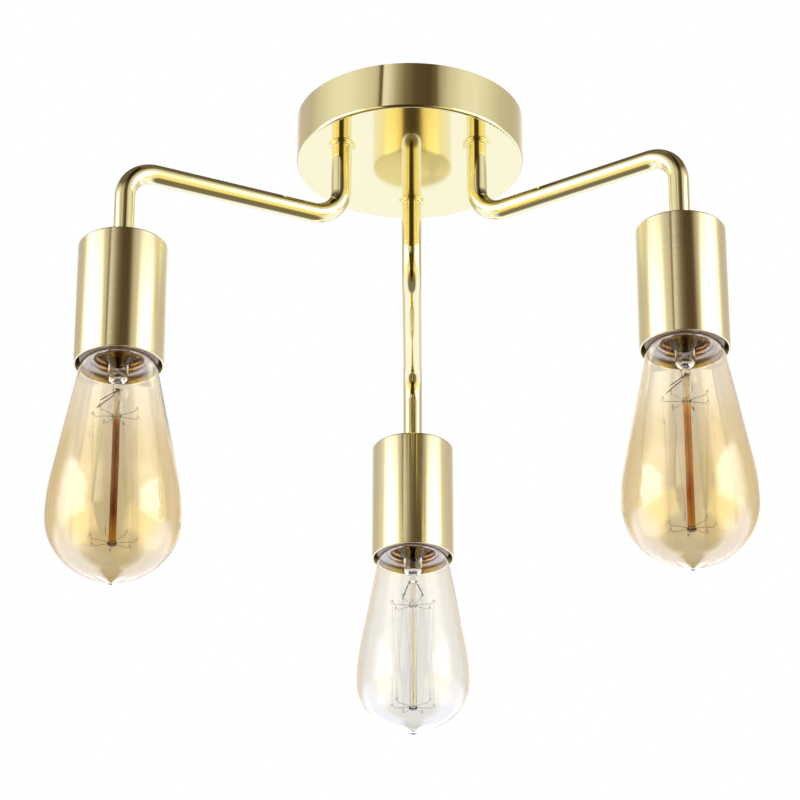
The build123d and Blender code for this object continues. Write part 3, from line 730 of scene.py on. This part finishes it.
def thickened(mesh, thickness):
    """Gives a sheet its wall."""
    bmesh.ops.recalc_face_normals(mesh, faces=mesh.faces[:])
    bmesh.ops.solidify(mesh, geom=mesh.faces[:], thickness=thickness)
    bmesh.ops.recalc_face_normals(mesh, faces=mesh.faces[:])
    return mesh


def rolled_shell(arm, sizes):
    """The holder's threaded shell with a plain rim at its mouth."""
    low, high, radius = reach(f"thread_shell_{arm}", lamp_centre(arm))
    plain = radius - sizes.sheet_wall - SLIP
    start, end, run_out = low + 1.4 * MM, high - 1.0 * MM, 0.4 * MM
    mesh = thread_sheet(plain, start, end, sizes)
    rim(mesh, start, [(plain, start - run_out), (plain, low)])
    rim(mesh, end, [(plain, end + run_out), (plain, high)])
    return thickened(mesh, sizes.sheet_wall)


class LIGHT_OT_holders(bpy.types.Operator):
    """Builds the cups with the porcelain holders, thread shells and contacts inside them"""

    bl_idname = "ceiling_light.holders"
    bl_label = "Cups and lampholders"

    def execute(self, context):
        sizes = context.scene.light_sizes
        for arm in ARMS:
            fitted(arm, "cup", turned_cup(arm, sizes), "lamp_cup", metal("cup_brass"))
            merged_copy(f"holder_body_{arm}", f"holder_{arm}", glazed_porcelain())
            fitted(arm, "shell", rolled_shell(arm, sizes), "thread_shell",
                   metal("rolled_cap"))
            merged_copy(f"centre_contact_{arm}", f"contact_strip_{arm}",
                        metal("plain_brass"))
        return {"FINISHED"}


# -------------------- bulbs
TOP_RING = -27.0 * MM  # the upper ring of hooks, from the cup's mouth
# How far round each bulb is screwed, and the angle between its leads and how far they reach.
CLOCK = {"left": 205.0, "right": 200.0, "rear": 270.0}
LEADS = {"left": (32.0, 9.4 * MM), "right": (32.0, 9.4 * MM), "rear": (180.0, 5.4 * MM)}
# A support wire's hook: each point's angle in degrees, radius and height in millimetres, and the
# point where the filament lies in it.
HOOK = ((0, 10.3, 0.1), (2, 10.9, 2.3), (2, 11.2, 2.5), (1, 11.6, 1.1), (0, 12.1, 0.6))
HELD = (2, 11.1, 2.3)
# The side of a bulb's pointed seal: shares of its radius and of its fall.
SEAL = ((0.86, 0.10), (0.72, 0.225), (0.56, 0.39), (0.40, 0.57), (0.25, 0.75), (0.13, 0.90),
        (0.06, 0.97), (0.0, 1.0))


def drawn_envelope(arm, sizes):
    """Both faces of the blown bulb, each drawn from the neck's end down to the pointed seal."""
    low, high, radius = reach(f"bulb_glass_{arm}", lamp_centre(arm))
    bore = reach(f"thread_shell_{arm}", lamp_centre(arm))[2]
    widest = widest_level(arm)
    bottom = low + sizes.seal_height
    depth = widest - bottom
    corner = depth**2 / radius
    bowl = (radius**2 + depth**2 - 2 * radius * corner) / (2 * (depth - corner))
    bowl_centre = Vector((0, bottom + bowl))
    corner_centre = Vector((radius - corner, widest))
    flank = sizes.flank_radius
    flank_centre = Vector((radius - flank, widest))
    shoulder, shoulder_top = sizes.shoulder_radius, 2.2 * MM
    shoulder_centre = Vector((bore, shoulder_top - shoulder))
    between = shoulder_centre - flank_centre
    lean = degrees(atan2(between.y, between.x) - acos((flank - shoulder) / between.length))
    side = (corner_centre - bowl_centre) / (bowl - corner)
    turn = 90 + degrees(atan2(side.y, side.x))
    bend = bore - sizes.neck_radius
    tip_thickening = 1.6  # the glass is thickest where it was sealed off

    def draw(outline, inset):
        """One face, from the neck's end to the tip."""
        outline.line(sizes.neck_radius - inset, high)
        outline.line(sizes.neck_radius - inset, shoulder_top + bend)
        outline.arc(bore, shoulder_top + bend, 90, 6)
        outline.arc(bore, shoulder_centre.y, lean - 90, 10)
        touch = flank_centre + Vector((cos(radians(lean)), sin(radians(lean)))) * (flank - inset)
        outline.line(touch.x, touch.y)
        outline.arc(flank_centre.x, flank_centre.y, -lean, 12)
        outline.arc(corner_centre.x, corner_centre.y, turn - 90, 14)
        foot = asin(sizes.seal_radius / (bowl - inset))
        outline.arc(bowl_centre.x, bowl_centre.y, degrees(foot) - turn, 22)
        rise = bowl_centre.y - (bowl - inset) * cos(foot)
        tip = low + tip_thickening * inset
        for share, fall in SEAL:
            outline.line(sizes.seal_radius * share, rise + (tip - rise) * fall)

    outline = Outline(sizes.neck_radius - sizes.bulb_wall / 2, high)
    draw(outline, 0.0)
    outline.end = outline.start
    draw(outline, sizes.bulb_wall)
    return outline.turned(sizes.segments)


def widest_level(arm):
    """The height of a bulb's widest ring above its cup's mouth."""
    centre = lamp_centre(arm)
    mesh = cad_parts[f"bulb_glass_{arm}"].data
    ring = max(mesh.vertices, key=lambda v: (v.co - centre).to_2d().length)
    return ring.co.z - centre.z


class LIGHT_OT_bulb_glass(bpy.types.Operator):
    """Blows the three glass envelopes"""

    bl_idname = "ceiling_light.bulb_glass"
    bl_label = "Bulb glass"

    def execute(self, context):
        for arm in ARMS:
            mesh = drawn_envelope(arm, context.scene.light_sizes)
            fitted(arm, "envelope", mesh, "bulb_glass", bulb_glass(arm), f"bulb_{arm}", 60.0)
        return {"FINISHED"}


def turned_stem(arm, sizes):
    """The flared stem tube, hollow down to its rounded end."""
    high, radius = reach(f"bulb_stem_{arm}", lamp_centre(arm))[1:]
    stem, wall, foot = 4.8 * MM, 0.9 * MM, -9.6 * MM
    corner, hollow_corner = 3.6 * MM, 2.0 * MM
    flare, flare_foot, neck = 3.2 * MM, 4.2 * MM, -0.5 * MM
    hollow, hollow_foot = stem - wall, foot + wall * 1.6
    hollow_flare, hollow_rise = 3.0 * MM, 0.8 * MM
    outline = Outline(radius, high).line(radius, high - wall).line(stem + flare, flare_foot)
    outline.line(stem, neck).line(stem, foot + corner)
    outline.arc(stem - corner, foot + corner, -90, 10).line(0, foot).line(0, hollow_foot)
    outline.line(hollow - hollow_corner, hollow_foot)
    outline.arc(hollow - hollow_corner, hollow_foot + hollow_corner, 90, 6).line(hollow, 0)
    outline.line(hollow + hollow_flare, flare_foot + hollow_rise).line(radius - wall, high).close()
    return outline.turned(sizes.segments // 2)


def pinched_seal(arm):
    """The flat waisted block of glass that is pinched round the lead wires, below the stem."""
    thickness, width, height = 3.2 * MM, 6.0 * MM, 5.0 * MM
    edge, waist, middle = 0.9 * MM, 0.18, -11.9 * MM
    mesh = bmesh.new()
    bmesh.ops.create_cube(mesh, size=1.0, matrix=Matrix.Diagonal((thickness, width, height, 1)))
    bmesh.ops.bevel(
        mesh, geom=mesh.edges[:], offset=edge, affect="EDGES", segments=3, profile=0.5, material=-1
    )
    bmesh.ops.bisect_plane(mesh, geom=whole(mesh), plane_co=(0, 0, 0), plane_no=(0, 0, 1))
    for vertex in mesh.verts:
        vertex.co.y *= 1 - waist * (1 - min(abs(vertex.co.z) / (height / 2), 1.0))
    place = Matrix.Translation((0, 0, middle)) @ Matrix.Rotation(radians(CLOCK[arm]), 4, "Z")
    bmesh.ops.transform(mesh, verts=mesh.verts[:], matrix=place)
    return mesh


def drawn_rod(arm, sizes):
    """The glass rod with a rounded button at each ring of support wires."""
    low = reach(f"bulb_stem_{arm}", lamp_centre(arm))[0]
    top, narrowest = -13.4 * MM, -18.0 * MM
    rod, button, half = 1.75 * MM, 2.3 * MM, 0.8 * MM
    flat, cone = button - half * 0.8, half + 0.7 * MM
    bottom = low + half
    outline = Outline(0, top).line(rod * 0.9, top).line(rod * 0.8, narrowest)

    def draw_button(ring):
        outline.line(flat, ring + half).arc(flat, ring + half * 0.2, -90, 5)
        outline.line(button, ring - half * 0.2).arc(flat, ring - half * 0.2, -90, 5)

    outline.line(rod * 0.9, TOP_RING + cone + 0.1 * MM)
    draw_button(TOP_RING)
    outline.line(rod, TOP_RING - cone).line(rod, bottom + cone)
    draw_button(bottom)
    return outline.line(0, bottom - half).turned(sizes.segments // 4)


def around(degrees, radius, height):
    """A point at an angle and radius about a bulb's axis."""
    return Vector((radius * cos(radians(degrees)), radius * sin(radians(degrees)), height))


def hooked_wires(arm, random):
    """The lines of the hooked wires round both buttons, and the tips of their hooks."""
    low = reach(f"bulb_supports_{arm}", lamp_centre(arm))[0]
    root, arch, arch_rise, elbow = 1.6 * MM, 6.5 * MM, 0.25 * MM, 9.6 * MM
    paths, tips = [], {}
    for ring, level, shift in (("top", TOP_RING, 0.0), ("bottom", low + 0.2 * MM, 0.5)):
        tips[ring] = []
        for count in range(7):
            angle = CLOCK[arm] + 180 + (count + shift) * 360 / 7 + random.uniform(-3, 3)
            end = level + random.uniform(-0.1, 0.5) * MM
            bow = [
                around(angle, root, level),
                around(angle, arch, level + arch_rise),
                around(angle + random.uniform(-1, 1), elbow, end),
            ]
            *hook, held = [
                around(angle + turn, out * MM, end + rise * MM) for turn, out, rise in (*HOOK, HELD)
            ]
            paths.append(bow + hook)
            tips[ring].append(held)
    return paths, tips


def strung_filament(tips):
    """The fine wire that runs up and down between the hooks, drawn in a little midway."""
    paths, drawn_in = [], 0.985
    for count, low in enumerate(tips["bottom"]):
        for high in tips["top"][count:count + 2]:
            middle = (low + high) / 2
            paths.append([high, Vector((middle.x * drawn_in, middle.y * drawn_in, middle.z)), low])
    return paths


def bent_leads(arm):
    """The two stiff lead wires that splay out below the pinch."""
    spread, far = LEADS[arm]
    inset, top, bow = 2.2 * MM, -14.4 * MM, Vector((0, 0, 0.3 * MM))
    paths = []
    for side, foot in ((-1, -23.2 * MM), (1, -21.4 * MM)):
        start = around(CLOCK[arm] + 90, inset * side, top)
        end = around(CLOCK[arm] + side * spread / 2, far, foot)
        middle = (start + end) / 2 + bow
        paths.append([start, start.lerp(middle, 0.7), middle, end])
    return paths


class LIGHT_OT_bulb_mounts(bpy.types.Operator):
    """Builds the stems, rods, support wires, lead wires and filaments inside the bulbs"""

    bl_idname = "ceiling_light.bulb_mounts"
    bl_label = "Bulb stems and filaments"

    def execute(self, context):
        sizes = context.scene.light_sizes
        for index, arm in enumerate(ARMS):
            body, glass = f"bulb_{arm}", "stem_glass"
            fitted(arm, "stem", turned_stem(arm, sizes), "bulb_stem", stem_glass(), body)
            fitted(arm, "pinch", pinched_seal(arm), "", stem_glass(), body)
            fitted(arm, "rod", drawn_rod(arm, sizes), "", rod_glass(arm), body)
            hooks, tips = hooked_wires(arm, Random(11 + index))
            for name, paths, diameter, node, slot, kind in (
                ("hooks", hooks, sizes.support_wire, "bulb_supports", "support_wire", "filament_metal"),
                ("leads", bent_leads(arm), sizes.lead_wire, "bulb_leads", "lead_wire", "drawn_wire"),
                ("filament", strung_filament(tips), sizes.filament_wire, "bulb_filament",
                 "filament_wire", "filament_metal"),
            ):
                fitted(arm, name, wires(paths, diameter), node, metal(kind), body, 60.0)
        return {"FINISHED"}


def rolled_bulb_cap(arm, sizes):
    """The rolled screw cap: plain rim, thread, and a shoulder that narrows to the insulator."""
    low, high, radius = reach(f"bulb_cap_{arm}", lamp_centre(arm))
    narrow = reach(f"bulb_insulator_{arm}", lamp_centre(arm))[2]
    start, end, run_out = low + 2.2 * MM, high - 4.6 * MM, 0.5 * MM
    plain, corner = radius - 0.35 * MM, 1.4 * MM
    mesh = thread_sheet(radius, start, end, sizes)
    rim(mesh, start, [(plain, start - run_out), (plain, low + 0.4 * MM), (radius, low)])
    rim(mesh, end, [(plain - 0.3 * MM, end + run_out), (narrow + corner, high - corner),
                    (narrow, high - run_out), (narrow, high)])
    return thickened(mesh, sizes.sheet_wall)


def turned_insulator(arm, sizes):
    """The black glass between the cap and its end contact."""
    low, high, radius = reach(f"bulb_insulator_{arm}", lamp_centre(arm))
    contact = reach(f"bulb_contact_{arm}", lamp_centre(arm))[2]
    edge = 0.5 * MM
    outline = Outline(0, low).line(radius - edge, low)
    outline.arc(radius - edge, low + edge, 90, 4).line(contact, high).line(0, high)
    return outline.turned(sizes.segments // 2)


def turned_contact(arm, sizes):
    """The soldered end contact: a low plate with a rounded lump."""
    low, high, radius = reach(f"bulb_contact_{arm}", lamp_centre(arm))
    tall = high - low
    outline = Outline(0, low).line(radius, low).line(radius, low + tall * 0.3)
    outline.line(radius * 0.86, low + tall * 0.4).line(radius * 0.62, low + tall * 0.45)
    outline.line(radius * 0.5, low + tall * 0.8).line(radius * 0.25, high).line(0, high)
    return outline.turned(sizes.segments // 2)


class LIGHT_OT_bulb_caps(bpy.types.Operator):
    """Rolls the bulbs' screw caps and closes them with insulator and contact"""

    bl_idname = "ceiling_light.bulb_caps"
    bl_label = "Bulb caps"

    def execute(self, context):
        sizes = context.scene.light_sizes
        for arm in ARMS:
            body = f"bulb_{arm}"
            fitted(arm, "cap", rolled_bulb_cap(arm, sizes), "bulb_cap",
                   metal("rolled_cap"), body)
            fitted(arm, "insulator", turned_insulator(arm, sizes), "bulb_insulator",
                   black_glass(), body)
            fitted(arm, "end_contact", turned_contact(arm, sizes), "bulb_contact",
                   metal("plain_brass"), f"carrier_{arm}")
        return {"FINISHED"}


# -------------------- stage
WHITE, DIM = (1.0, 1.0, 1.0), (0.20, 0.17, 0.12)
COOL, AMBER = (0.95, 0.98, 1.15), (1.0, 0.87, 0.45)
# Bearings, 0.5 behind the camera and 0 or 1 ahead of it, and how bright the studio is there.
WALLS = (
    (0.0, 0.82), (0.05, 0.72), (0.09, 0.50), (0.17, 0.48), (0.22, 0.62), (0.27, 0.74), (0.32, 0.76),
    (0.37, 0.66), (0.405, 0.54), (0.415, 0.42), (0.419, 0.10), (0.426, 0.12), (0.430, 0.76),
    (0.444, 0.68), (0.468, 0.36), (0.490, 0.18), (0.520, 0.09), (0.560, 0.075), (0.578, 0.13),
    (0.592, 0.38), (0.617, 0.58), (0.661, 0.74), (0.70, 0.76), (0.75, 0.64), (0.80, 0.52),
    (0.86, 0.48), (0.91, 0.52), (0.95, 0.72), (1.0, 0.82),
)
GROUND = (
    (0.0, 0.95, COOL), (0.20, 0.95, COOL), (0.30, 0.94, AMBER), (0.42, 0.90, AMBER), (0.428, 0.06),
    (0.53, 0.05), (0.565, 0.12), (0.60, 0.85, AMBER), (0.70, 0.94, AMBER), (0.80, 0.95, COOL),
    (1.0, 0.95, COOL),
)
# Heights, 0 straight down and 1 straight up, and the studio's tone there.
POLES = ((0.0, DIM), (0.08, DIM), (0.17, WHITE), (0.80, WHITE), (0.89, DIM), (1.0, DIM))


def studio_world(stage):
    """White to the camera and through glass; a studio with dark gaps in what mirrors it."""
    world = bpy.data.worlds.new("studio")
    bpy.context.scene.world = world
    world.use_nodes = True
    sky = Nodes(world.node_tree)
    sky.tree.nodes.clear()
    output = sky.node("OutputWorld")
    path = sky.node("LightPath").outputs
    view = sky.parts(sky.node("TexCoord").outputs["Generated"])
    turn = sky.math("ARCTAN2", view["X"], sky.math("MULTIPLY", view["Y"], -1.0))
    bearing = sky.math("MULTIPLY_ADD", turn, 1 / (2 * pi), 0.5)
    height = sky.math("MULTIPLY_ADD", view["Z"], 0.5, 0.5)
    above_ground = sky.math("MULTIPLY_ADD", view["Z"], 5.0, 0.4, use_clamp=True)

    def levels(stops):
        """Light levels along the bearing, warmer where they are lower."""
        return sky.ramp(bearing, [
            (position, (level * tint[0], level**1.15 * tint[1], level**1.4 * tint[2]))
            for position, level, tint in ((*stop, WHITE)[:3] for stop in stops)
        ])

    def background(colour, strength):
        return sky.node("Background", {"Color": colour, "Strength": strength}).outputs[0]

    def mixed(factor, first, second):
        return sky.node("MixShader", {0: factor, 1: first, 2: second}).outputs[0]

    sides = sky.blended(above_ground, levels(GROUND), levels(WALLS))
    studio = sky.blended(1.0, sides, sky.ramp(height, POLES), "MULTIPLY")
    deepened = sky.blended(1.0, studio, studio, "MULTIPLY")
    mirrored = mixed(
        sky.math("GREATER_THAN", path["Transmission Depth"], 0.5),
        background(studio, stage.mirrored), background(deepened, stage.in_glass),
    )
    # Light that has been mirrored anywhere on its way, also inside glass, comes from the studio.
    reflected = sky.math("GREATER_THAN", path["Glossy Depth"], 0.5)
    through = sky.math("GREATER_THAN", path["Is Transmission Ray"], reflected)
    seen = sky.math("MAXIMUM", path["Is Camera Ray"], through)
    glossy = sky.math("MAXIMUM", path["Is Glossy Ray"], path["Is Transmission Ray"])
    lit = mixed(glossy, background((1.0, 0.995, 0.985), stage.fill), mirrored)
    sky.feed(mixed(seen, lit, background(WHITE, 1.0)), output.inputs["Surface"])


def softbox(name, x, strength):
    """A tall upright panel at one side that glows, fades towards its edges and isn't seen itself."""
    front, back, low, high = -1.2, 0.2, -0.6, 0.49
    mesh = bmesh.new()
    place = Matrix.Translation((x, (front + back) / 2, (low + high) / 2))
    size = Matrix.Diagonal((1, back - front, high - low, 1))
    upright = Matrix.Rotation(pi / 2, 4, "Y")
    bmesh.ops.create_grid(mesh, x_segments=1, y_segments=1, size=0.5, matrix=place @ size @ upright)
    finish = Finish(name)
    spot = finish.parts(finish.place)
    level = strength
    for axis, at, inside in (("Y", front, front + 0.4), ("Y", back, back - 0.4),
                             ("Z", low, low + 0.35), ("Z", high, high - 0.12)):
        fade = finish.ranged(spot[axis], at, inside, 0.0, 1.0, "SMOOTHSTEP")
        level = finish.math("MULTIPLY", fade, level)
    glow = finish.node("Emission", {"Strength": level}).outputs[0]
    clear = finish.node("BsdfTransparent").outputs[0]
    both = finish.node("AddShader", {0: glow, 1: clear}).outputs[0]
    finish.feed(both, finish.tree.nodes["Material Output"].inputs["Surface"])
    panel = shown(mesh, name, finish.material)
    panel.visible_camera = False
    panel.visible_shadow = False


def studio_floor(stage):
    """The pale floor of the room, with a soft mottle."""
    mesh = bmesh.new()
    bmesh.ops.create_grid(mesh, x_segments=8, y_segments=8, size=6.0)
    bmesh.ops.translate(mesh, verts=mesh.verts[:], vec=(0, 0, -stage.floor_drop))
    finish = Finish("floor_paint").set(Roughness=0.8)
    mottle = finish.noise(3.0, 2.0)
    finish.link(finish.blended(mottle, (0.90, 0.90, 0.895), (0.93, 0.93, 0.925)), "Base Color")
    floor = shown(mesh, "floor", finish.material)
    floor.visible_glossy = False
    floor.visible_transmission = False


def photo_camera(stage):
    """The camera below and in front of the light, looking up at it."""
    data = bpy.data.cameras.new("camera")
    data.sensor_width = 36.0
    data.lens = stage.camera_lens
    data.clip_start = 0.05
    camera = bpy.data.objects.new("camera", data)
    bpy.context.scene.collection.objects.link(camera)
    turn = Euler((pi / 2 + stage.camera_pitch, 0, -stage.camera_yaw))
    camera.matrix_world = Matrix.LocRotScale(stage.camera_place, turn, None)
    bpy.context.scene.camera = camera


class LIGHT_OT_stage(bpy.types.Operator):
    """Sets up the floor, the studio light and the camera"""

    bl_idname = "ceiling_light.stage"
    bl_label = "Studio and camera"

    def execute(self, context):
        stage = context.scene.light_stage
        context.scene.view_settings.view_transform = "Standard"
        studio_world(stage)
        studio_floor(stage)
        softbox("softbox_left", -0.95, stage.softbox)
        softbox("softbox_right", 0.95, stage.softbox)
        photo_camera(stage)
        return {"FINISHED"}


# -------------------- panel and registration
class LIGHT_PT_panel(bpy.types.Panel):
    """Lists the light's pieces and settings"""

    bl_idname = "LIGHT_PT_panel"
    bl_label = "Ceiling light"
    bl_space_type = "VIEW_3D"
    bl_region_type = "UI"
    bl_category = "Ceiling light"

    def draw(self, context):
        for step in STEPS:
            self.layout.operator(step.bl_idname)
        for group in (context.scene.light_sizes, context.scene.light_finishes, context.scene.light_stage):
            box = self.layout.box()
            for key in type(group).__annotations__:
                box.prop(group, key)


GROUPS = (LIGHT_PG_sizes, LIGHT_PG_finishes, LIGHT_PG_stage)
STEPS = (
    LIGHT_OT_canopy, LIGHT_OT_arms, LIGHT_OT_holders, LIGHT_OT_bulb_glass, LIGHT_OT_bulb_mounts,
    LIGHT_OT_bulb_caps, LIGHT_OT_stage,
)


def register():
    for item in (*GROUPS, *STEPS, LIGHT_PT_panel):
        bpy.utils.register_class(item)
    bpy.types.Scene.light_sizes = PointerProperty(type=LIGHT_PG_sizes)
    bpy.types.Scene.light_finishes = PointerProperty(type=LIGHT_PG_finishes)
    bpy.types.Scene.light_stage = PointerProperty(type=LIGHT_PG_stage)


def unregister():
    for name in ("light_stage", "light_finishes", "light_sizes"):
        delattr(bpy.types.Scene, name)
    for item in (LIGHT_PT_panel, *reversed(STEPS), *reversed(GROUPS)):
        bpy.utils.unregister_class(item)


def main():
    register()
    bpy.ops.ceiling_light.canopy()
    bpy.ops.ceiling_light.arms()
    bpy.ops.ceiling_light.holders()
    bpy.ops.ceiling_light.bulb_glass()
    bpy.ops.ceiling_light.bulb_mounts()
    bpy.ops.ceiling_light.bulb_caps()
    bpy.ops.ceiling_light.stage()


if __name__ == "__main__":
    main()
